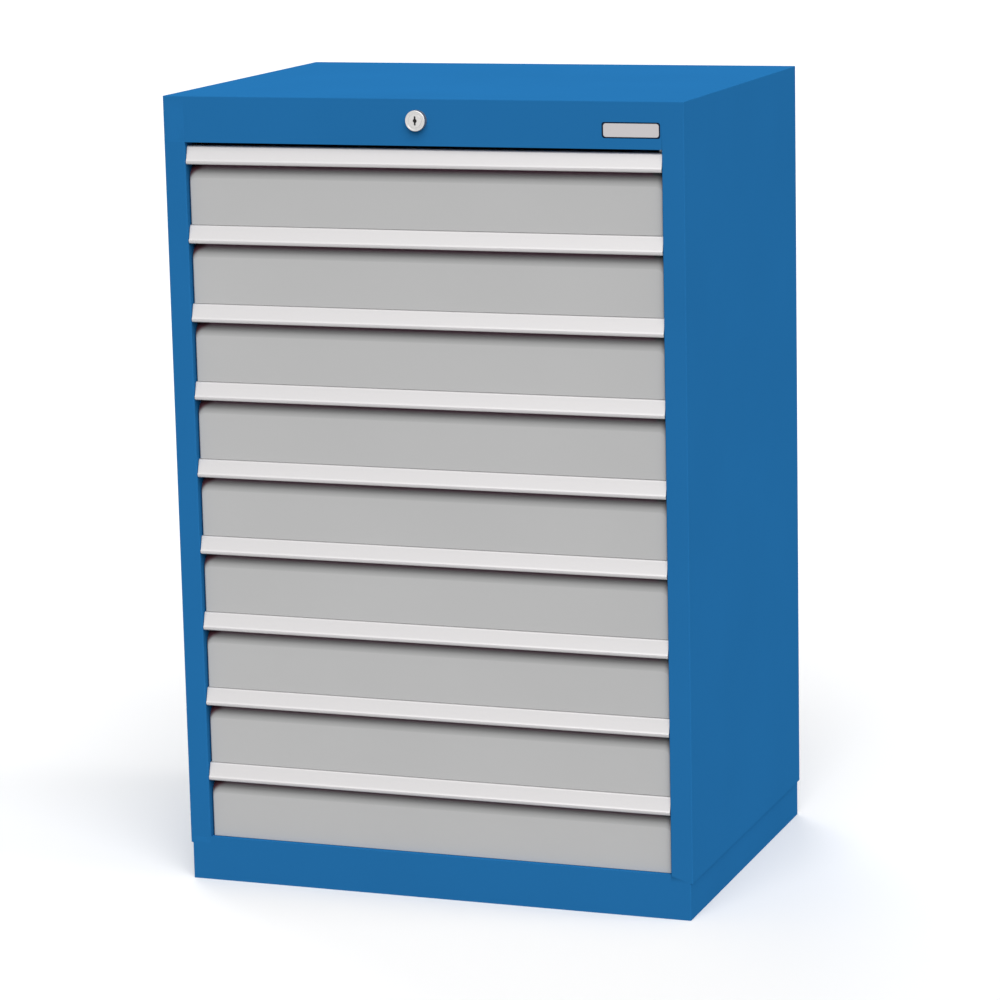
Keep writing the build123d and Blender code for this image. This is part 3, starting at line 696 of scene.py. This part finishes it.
def handle_strip():
    """An extruded strip: top flange, sloping face, bead, rounded lip and the leg behind."""
    crest, low = -18.5, -22.9
    front, middle, inner_radius = 0.1, 2.5, 1.7
    outer_radius = middle - front
    waves = [(math.sin(math.pi * step / 16), math.cos(math.pi * step / 16)) for step in range(1, 9)]
    lip = [(middle - outer_radius * cos, crest + (low - crest) * sin) for sin, cos in waves]
    lip += [(middle + inner_radius * sin, low + inner_radius - inner_radius * cos) for sin, cos in waves]
    outer = ((HANDLE_BACK, 0), (HANDLE_EDGE, 0), (1.6, crest + 2.2), (0.45, crest + 0.5), (front, crest))
    inner = (
        (middle + inner_radius, crest + 1.2),
        (HANDLE_EDGE + HANDLE_WALL * 0.7, -HANDLE_WALL),
        (HANDLE_BACK, -HANDLE_WALL),
    )
    points = [at(-HANDLE_HALF, y, DRAWER_TOP + z) for y, z in (*outer, *lip, *inner)]
    piece = draw_section("drawer_1_handle_strip", points, closed=True)
    move((2 * HANDLE_HALF / 1000, 0.0, 0.0))
    face_out(lambda c: lies(c, z=DRAWER_TOP), Vector((0.0, 0.0, 1.0)))
    round_edges(lambda c: lies(c, y=HANDLE_EDGE, z=DRAWER_TOP) and spans(c, X, 100), 1.8, 5)
    close()
    low_corner = at(-LEG_HALF, HANDLE_BACK - HANDLE_WALL, DRAWER_TOP + LEG_LOW)
    leg = block("leg", low_corner, at(LEG_HALF, HANDLE_BACK, DRAWER_TOP - HANDLE_WALL))
    edit(leg, "EDGE")
    round_edges(lambda c: lies(c, y=HANDLE_BACK, z=DRAWER_TOP + LEG_LOW), 0.5)
    close()
    attach(piece, leg)
    smooth(piece, 19)
    return piece


first_front = drawer_front("drawer_1_front_sheet", FRONT_BOTTOM)
down_the_stack(first_front, front_grey_painted_shade, "drawer_1", "drawer_1_front", DRAWERS - 1)
last_front = drawer_front("drawer_9_front_sheet", LAST_BOTTOM)
alone(last_front)
shift_by(last_front, (0.0, 0.0, -PITCH * (DRAWERS - 1)))
dress(last_front, front_grey_painted_shade, "drawer_9", "drawer_9_front")
down_the_stack(handle_strip(), aluminium, "drawer_1", "drawer_1_handle")


# Drawer trays

TRAY_HALF = 287
TRAY_FRONT = 26
TRAY_BACK = 470
TRAY_LOW = 862
TRAY_TOP = 942
TRAY_SHEET = 1.0
RIM_WIDTH = 7
RIM_DEPTH = 6


def drawer_tray():
    """A tray folded from sheet, its rim turned in and down."""
    middle, half_depth = (TRAY_FRONT + TRAY_BACK) / 2, (TRAY_BACK - TRAY_FRONT) / 2
    low, high = at(-TRAY_HALF, TRAY_FRONT, TRAY_LOW), at(TRAY_HALF, TRAY_BACK, TRAY_TOP)
    piece = block("drawer_1_tray_pan", low, high)
    edit(piece, "FACE")
    pick(lambda c: lies(c, z=TRAY_TOP))
    bpy.ops.mesh.delete(type="FACE")
    round_edges(lambda c: spans(c, Z, 10), 3.0, 5)
    round_edges(lambda c: lies(c, z=TRAY_LOW), 1.5, 4)
    bpy.ops.mesh.select_all(action="DESELECT")
    pick(lambda c: lies(c, z=TRAY_TOP))
    move((0.0, 0.0, 0.0))
    inwards = ((TRAY_HALF - RIM_WIDTH) / TRAY_HALF, (half_depth - RIM_WIDTH) / half_depth, 1.0)
    bpy.ops.transform.resize(value=inwards, center_override=at(0, middle, TRAY_TOP))
    move((0.0, 0.0, -RIM_DEPTH / 1000))
    bpy.ops.mesh.select_all(action="SELECT")
    bpy.ops.mesh.normals_make_consistent(inside=False)
    close()
    thicken(piece, TRAY_SHEET)
    soften(piece, 0.3, 50)
    smooth(piece, 40)
    return piece


down_the_stack(drawer_tray(), grey, "drawer_1", "drawer_1_tray")


# Pieces whose sheets and bars keep the CAD's shape, with their sharp edges softened


def softened(node, name, width):
    """A copy of a CAD piece, its facets merged and its sharp edges rounded, in millimetres."""
    piece = copy_of(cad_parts[node], name, (0.0, 0.0, 0.0))
    edit(piece, "FACE")
    bpy.ops.mesh.select_all(action="SELECT")
    bpy.ops.mesh.remove_doubles(threshold=1e-6)
    bpy.ops.mesh.dissolve_limited(angle_limit=math.radians(0.5))
    close()
    soften(piece, width)
    smooth(piece, 35)
    return piece


for node_name, piece_name, finish, width in (
    ("front_rail", "top_rail", blue, 0.4),
    ("plinth", "plinth_frame", blue, 0.5),
    ("bottom_panel", "floor_sheet", blue, 0.4),
    ("back_panel", "back_sheet", blue, 0.3),
    ("uprights", "slotted_uprights", zinc, 0.3),
    ("cabinet_rails", "cabinet_channels", zinc, 0.3),
    ("fixings", "rivets_and_bolts", zinc, 0.5),
):
    dress(softened(node_name, piece_name, width), finish, "cabinet", node_name)
dress(softened("transfer_bar", "lock_transfer_bar", 0.3), zinc, "transfer_bar", "transfer_bar")

channels = softened("drawer_1_fittings", "drawer_1_channels_and_catch", 0.3)
down_the_stack(channels, zinc, "drawer_1", "drawer_1_fittings")
down_the_stack(softened("runner_1", "runner_1_carriers", 0.3), zinc, "runner_1", "runner_1")


# Lock
# Millimetres: radii, depths from the front frame, and the axis's height from the floor.

LOCK_UP = 992.5
FACE_RADIUS = 12.8
THREAD_RADIUS = 11.0
PLUG_RADIUS = 8.6
FACE_FRONT = -8.0
CRANK_FRONT = 30.4
CRANK_BACK = 32.9
CRANK_REACH = 12.0
LOCK_AXIS = (0.0, LOCK_UP)


def lathe(name, profile):
    """Turns a closed profile of radii and depths round the lock's axis."""
    points = [at(radius, y, LOCK_UP) for radius, y in profile]
    piece = draw_section(name, [*points, points[0]])
    bpy.ops.mesh.remove_doubles(threshold=1e-6)
    bpy.ops.mesh.select_all(action="SELECT")
    bpy.ops.mesh.spin(steps=ROUND, angle=math.tau, center=at(0, 0, LOCK_UP), axis=(0.0, 1.0, 0.0))
    bpy.ops.mesh.select_all(action="SELECT")
    bpy.ops.mesh.remove_doubles(threshold=1e-6)
    bpy.ops.mesh.normals_make_consistent(inside=False)
    close()
    smooth(piece)
    return piece


def lock_collar():
    """The round housing that stands out of the rail, and its threaded body behind."""
    front, back, bore = -7.1, 30, 8.65
    return lathe("lock_collar", (
        (FACE_RADIUS, 0),
        (FACE_RADIUS, front),
        (bore, front),
        (bore, back),
        (THREAD_RADIUS, back),
        (THREAD_RADIUS, 0),
    ))


def lock_face():
    """The bright face: a soft outer edge and a shallow step round the plug."""
    back, bore, step_front, soft = -7.05, 8.62, -7.7, 0.8
    turns = [math.pi * step / 12 for step in range(7)]
    edge = [
        (FACE_RADIUS - soft + soft * math.cos(turn), FACE_FRONT + soft - soft * math.sin(turn))
        for turn in turns
    ]
    return lathe("lock_face", (
        (FACE_RADIUS, back),
        *edge,
        (10.9, FACE_FRONT),
        (10.6, step_front),
        (8.8, step_front),
        (bore, -7.55),
        (bore, back),
    ))


def lock_nut():
    """The six-sided nut that holds the housing behind the rail."""
    across_flats = 27
    piece = turned_disc("lock_nut", across_flats / math.sqrt(3), LOCK_AXIS, 1.5, 5.5, 6)
    carve(piece, turned_disc("nut_hole", THREAD_RADIUS, LOCK_AXIS, 0.5, 7.0), "DIFFERENCE")
    soften(piece, 0.4)
    smooth(piece)
    return piece


def keyhole(name, width, height, boss, front, back):
    """The keyhole's outline, drawn out along the plug: an upright slot with a round middle."""
    low, high = at(-width / 2, front, LOCK_UP - height / 2), at(width / 2, back, LOCK_UP + height / 2)
    piece = block(name, low, high)
    edit(piece, "EDGE")
    round_edges(lambda c: spans(c, Y, 4), width * 0.4, 4)
    close()
    carve(piece, turned_disc("middle", boss, LOCK_AXIS, front, back, 48), "UNION")
    return piece


def plug_core():
    """The plug, its front edge softened and the keyhole cut."""
    piece = turned_disc("lock_core", PLUG_RADIUS, LOCK_AXIS, FACE_FRONT, CRANK_FRONT)
    edit(piece, "EDGE")
    round_edges(lambda c: lies(c, y=FACE_FRONT), 0.35)
    close()
    carve(piece, keyhole("keyhole", 2.1, 11.4, 2.5, -9.0, 6.0), "DIFFERENCE")
    edit(piece, "EDGE")
    middle, reach = at(0, FACE_FRONT, LOCK_UP), 0.0065
    pick(lambda c: lies(c, y=FACE_FRONT) and all((p - middle).length < reach for p in c))
    bpy.ops.mesh.bevel(offset=0.0003, offset_type="OFFSET", segments=2, affect="EDGES")
    close()
    smooth(piece)
    return piece


def keyhole_shade_insert():
    """A black insert that closes the keyhole just behind the face, as painted shade for the dark inside of
    the keyhole.
    """
    piece = keyhole("lock_keyway", 2.06, 11.3, 2.48, -7.3, 5.5)
    smooth(piece)
    return piece


def lock_crank():
    """The crank on the plug's tail, its pin and the screw that holds it."""
    reach = CRANK_REACH * math.sin(math.radians(45))
    end = (reach, LOCK_UP - reach)
    pin_back, screw_back = 40.5, 34.9
    whole = turned_disc("lock_crank", 6.0, LOCK_AXIS, CRANK_FRONT, CRANK_BACK, 64)
    tip = turned_disc("crank_end", 4.5, end, CRANK_FRONT, CRANK_BACK, 48)
    pin = turned_disc("crank_pin", 2.5, end, CRANK_FRONT, pin_back, 32)
    screw = turned_disc("crank_screw", 5.0, LOCK_AXIS, CRANK_BACK, screw_back, 48)
    arm = block("crank_arm", at(-4.5, CRANK_FRONT, LOCK_UP - CRANK_REACH), at(4.5, CRANK_BACK, LOCK_UP))
    edit(arm, "VERT")
    bpy.ops.mesh.select_all(action="SELECT")
    pivot = at(0, CRANK_FRONT, LOCK_UP)
    bpy.ops.transform.rotate(value=math.radians(-45), orient_axis="Y", center_override=pivot)
    close()
    for part in (arm, tip, pin):
        carve(whole, part, "UNION")
    edit(screw, "EDGE")
    round_edges(lambda c: lies(c, y=screw_back), 0.5)
    close()
    carve(screw, turned_disc("socket", 2.3, LOCK_AXIS, 33.6, 36.0, 6), "DIFFERENCE")
    attach(whole, screw)
    smooth(whole)
    return whole


# The collar's side wall takes the darker metal, as painted shade.
dress(lock_collar(), collar_painted_shade, "cabinet", "lock_housing")
dress(lock_face(), nickel, "cabinet", "lock_housing")
dress(lock_nut(), zinc, "cabinet", "lock_housing")
dress(plug_core(), nickel, "lock_plug", "lock_plug")
dress(keyhole_shade_insert(), keyway_black, "lock_plug", "lock_plug")
dress(lock_crank(), zinc, "lock_plug", "lock_plug")


# Nameplate, left blank

PLATE_ACROSS = 274.6
PLATE_UP = 983.8


def rounded_plate(name, half_x, half_z, radius, front, back, soft):
    """A plate with rounded corners and a softened front edge, in millimetres."""
    low = at(PLATE_ACROSS - half_x, front, PLATE_UP - half_z)
    high = at(PLATE_ACROSS + half_x, back, PLATE_UP + half_z)
    piece = block(name, low, high)
    edit(piece, "EDGE")
    round_edges(lambda c: spans(c, Y, 0.1), radius, 8)
    round_edges(lambda c: lies(c, y=front), soft, 2)
    close()
    return piece


def plate_frame():
    """The frame of the nameplate, clipped behind the rail by a wider flange. Its near-black is painted
    shade for the gap round the plate.
    """
    piece = rounded_plate("nameplate_frame", 36.7, 9.5, radius=3.0, front=0.85, back=1.6, soft=0.1)
    flange = rounded_plate("flange", 37.7, 13.5, radius=3.0, front=1.5, back=2.7, soft=0.1)
    attach(piece, flange)
    smooth(piece)
    return piece


def plate_face():
    """The blank plate that lies on the frame."""
    piece = rounded_plate("nameplate_face", 35.1, 8.2, radius=3.4, front=0.5, back=1.0, soft=0.2)
    smooth(piece)
    return piece


dress(plate_frame(), dark_rim, "cabinet", "nameplate")
dress(plate_face(), plate_grey, "cabinet", "nameplate")


# Floor, light and camera

WHITE = (1.0, 1.0, 1.0, 1.0)


def show_apart(tree, hidden, shown, output):
    """Shows one shader straight, in metal and through glass, and lights the scene by the other."""
    path = tree.nodes.new("ShaderNodeLightPath")
    first = tree.nodes.new("ShaderNodeMath")
    first.operation = "MAXIMUM"
    tree.links.new(path.outputs["Is Camera Ray"], first.inputs[0])
    tree.links.new(path.outputs["Is Glossy Ray"], first.inputs[1])
    both = tree.nodes.new("ShaderNodeMath")
    both.operation = "MAXIMUM"
    tree.links.new(first.outputs[0], both.inputs[0])
    tree.links.new(path.outputs["Is Transmission Ray"], both.inputs[1])
    choice = tree.nodes.new("ShaderNodeMixShader")
    tree.links.new(both.outputs[0], choice.inputs["Fac"])
    tree.links.new(hidden.outputs[0], choice.inputs[1])
    tree.links.new(shown.outputs[0], choice.inputs[2])
    tree.links.new(choice.outputs[0], output.inputs["Surface"])


def studio_floor():
    """A pale floor that looks lighter in the picture than the light it throws back."""
    let_go()
    bpy.ops.mesh.primitive_plane_add(size=80.0, location=(0.0, 0.0, 0.0))
    floor = bpy.context.object
    floor.name = "studio_floor"
    paint = material("studio_floor_paint", (0.3, 0.3, 0.3), roughness=0.9, gleam=0.0)
    tree = paint.node_tree
    pale = tree.nodes.new("ShaderNodeBsdfDiffuse")
    pale.inputs["Color"].default_value = (0.9, 0.9, 0.9, 1.0)
    show_apart(tree, tree.nodes["Principled BSDF"], pale, tree.nodes["Material Output"])
    floor.data.materials.append(paint)


def studio_world(light, brightness):
    """A white surrounding that lights by one strength and shows in the picture by another."""
    world = bpy.data.worlds.new("studio")
    world.use_nodes = True
    bpy.context.scene.world = world
    tree = world.node_tree
    sky = tree.nodes["Background"]
    backdrop = tree.nodes.new("ShaderNodeBackground")
    for background, strength in ((sky, light), (backdrop, brightness)):
        background.inputs["Color"].default_value = WHITE
        background.inputs["Strength"].default_value = strength
    show_apart(tree, sky, backdrop, tree.nodes["World Output"])


def softbox(name, compass, height, strength, spread):
    """A far soft light, from a compass angle round the cabinet and a height, both in degrees."""
    light = bpy.data.lights.new(name, "SUN")
    light.energy = strength
    light.angle = math.radians(spread)
    holder = bpy.data.objects.new(name, light)
    bpy.context.scene.collection.objects.link(holder)
    turn, lift = math.radians(compass), math.radians(height)
    source = Vector((math.sin(turn) * math.cos(lift), -math.cos(turn) * math.cos(lift), math.sin(lift)))
    holder.location = source * 4.0
    holder.rotation_euler = source.to_track_quat("Z", "Y").to_euler()


def photo_camera(place, azimuth, decline, roll, lens):
    """The camera as fitted to the photo: place in metres, turns in degrees, lens in millimetres."""
    azimuth, decline, roll = math.radians(azimuth), math.radians(decline), math.radians(roll)
    forward = Vector((
        -math.sin(azimuth) * math.cos(decline),
        math.cos(azimuth) * math.cos(decline),
        -math.sin(decline),
    ))
    level = Vector((math.cos(azimuth), math.sin(azimuth), 0.0))
    upright = level.cross(forward)
    right = math.cos(roll) * level + math.sin(roll) * upright
    up = -math.sin(roll) * level + math.cos(roll) * upright
    optics = bpy.data.cameras.new("photo_camera")
    optics.sensor_width = 36.0
    optics.sensor_fit = "HORIZONTAL"
    optics.lens = lens
    camera = bpy.data.objects.new("photo_camera", optics)
    bpy.context.scene.collection.objects.link(camera)
    turned = Matrix((right, up, -forward)).transposed().to_4x4()
    camera.matrix_world = Matrix.Translation(place) @ turned
    bpy.context.scene.camera = camera


studio_floor()
studio_world(light=0.42, brightness=1.0)
softbox("front_softbox", compass=20.0, height=44.0, strength=2.60, spread=60.0)
softbox("side_softbox", compass=96.0, height=20.0, strength=0.985, spread=30.0)
softbox("rear_softbox", compass=215.0, height=25.0, strength=1.30, spread=40.0)
photo_camera((1.67415, -4.56306, 1.44044), azimuth=20.067, decline=11.288, roll=-1.2508, lens=136.103)
bpy.context.scene.view_settings.view_transform = "Standard"
